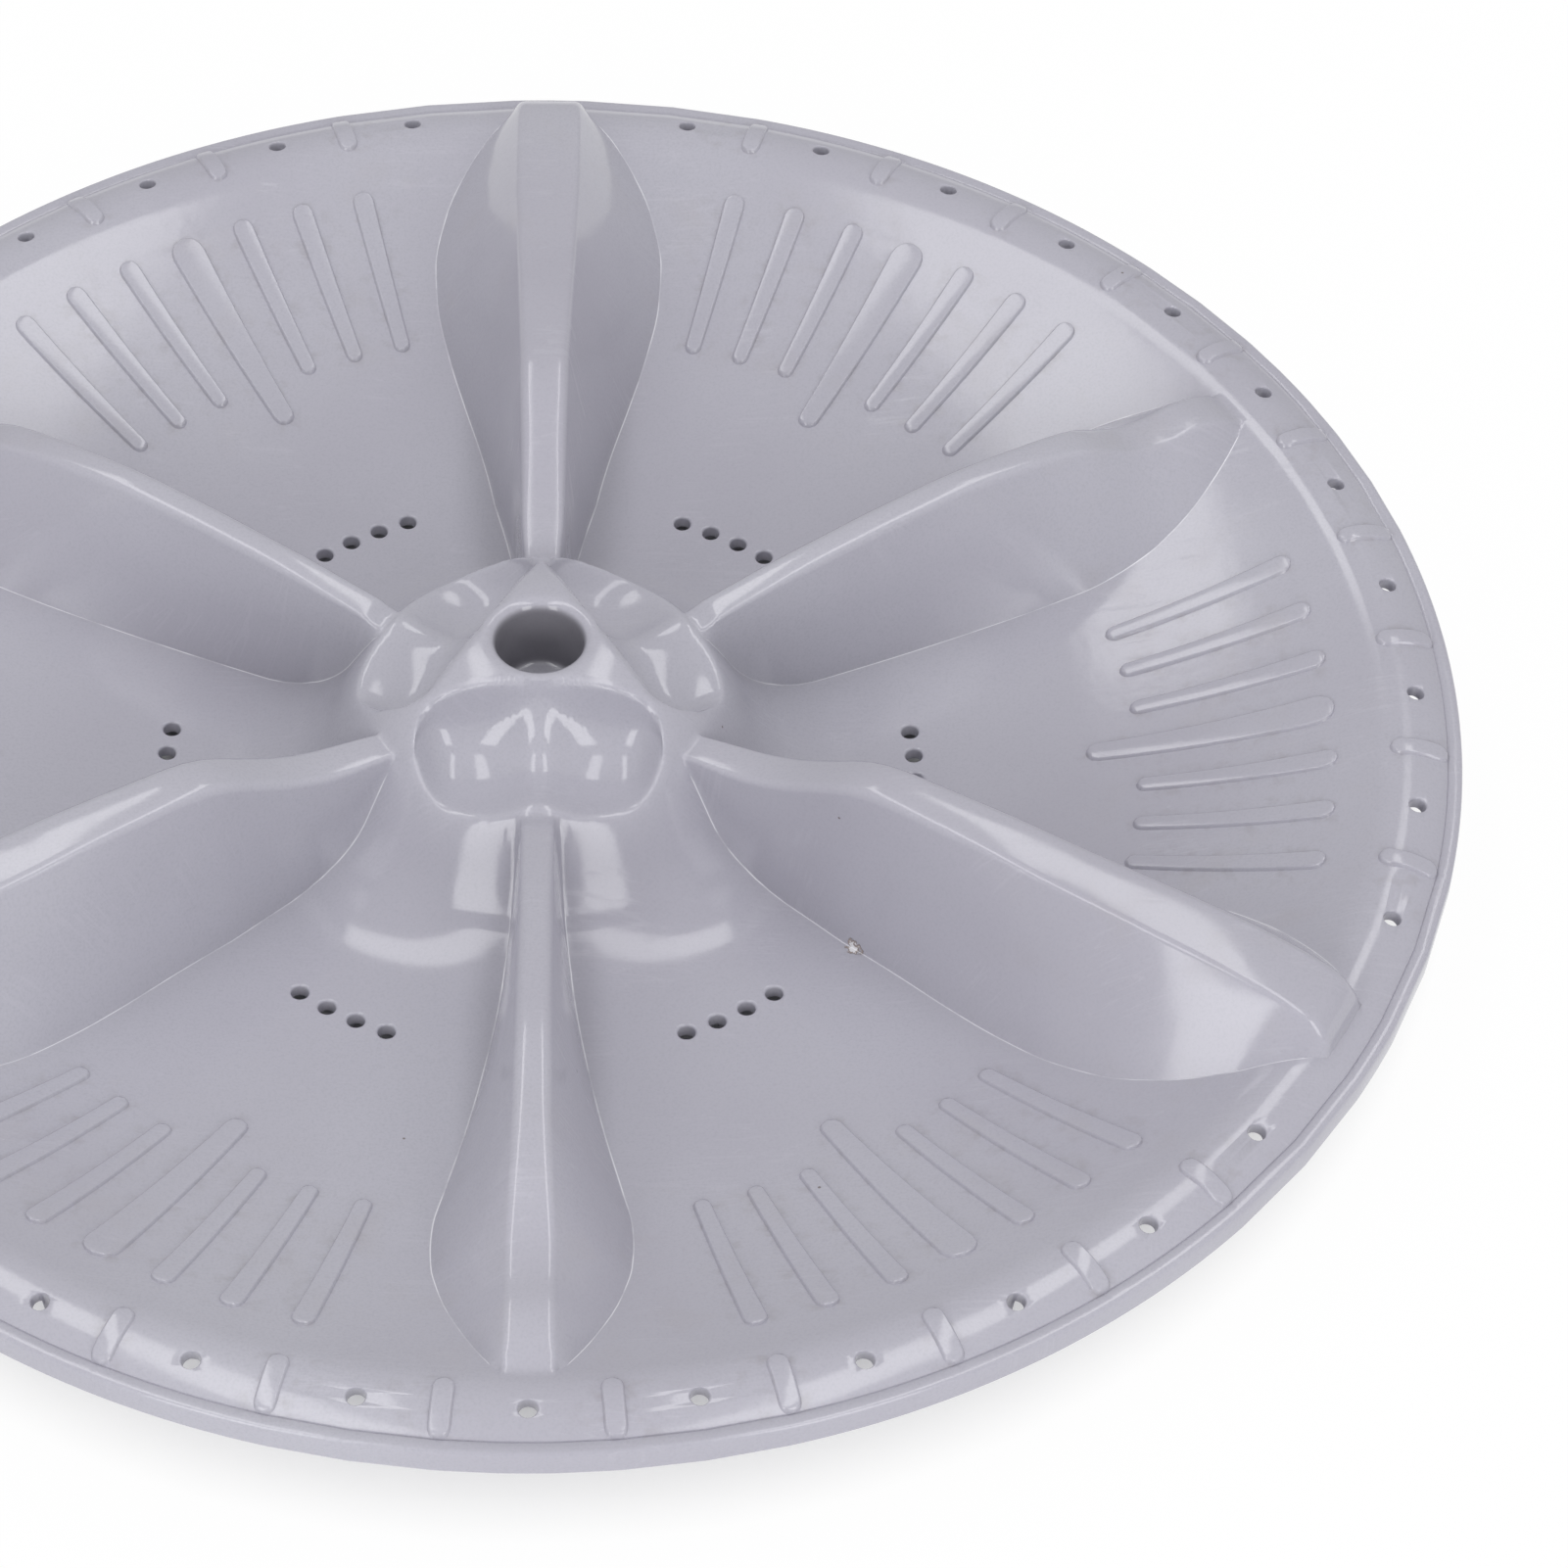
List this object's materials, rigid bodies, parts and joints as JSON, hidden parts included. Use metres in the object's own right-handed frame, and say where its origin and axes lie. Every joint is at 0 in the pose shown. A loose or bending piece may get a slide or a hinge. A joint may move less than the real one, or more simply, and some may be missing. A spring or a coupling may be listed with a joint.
{
  "type": "washing machine pulsator",
  "caption": "Dished round pulsator moulded in grey plastic, with hollow radial vanes, drain holes, a recessed hub and a splined drive boss.",
  "frame": {"origin": "on the drive axis, in the plane of the underside ring that the disc rests on", "axes": "+Z along the drive axis, out of the washing side; +Y along one of the tall vanes; the picture looks along +Y from above"},
  "size_m": [0.34, 0.34, 0.0414],
  "materials": {
    "moulding": "light grey injection-moulded plastic, semi-gloss, a little grime at the strips"
  },
  "bodies": {
    "root": {"pulsator": "moulding"}
  },
  "joints": []
}
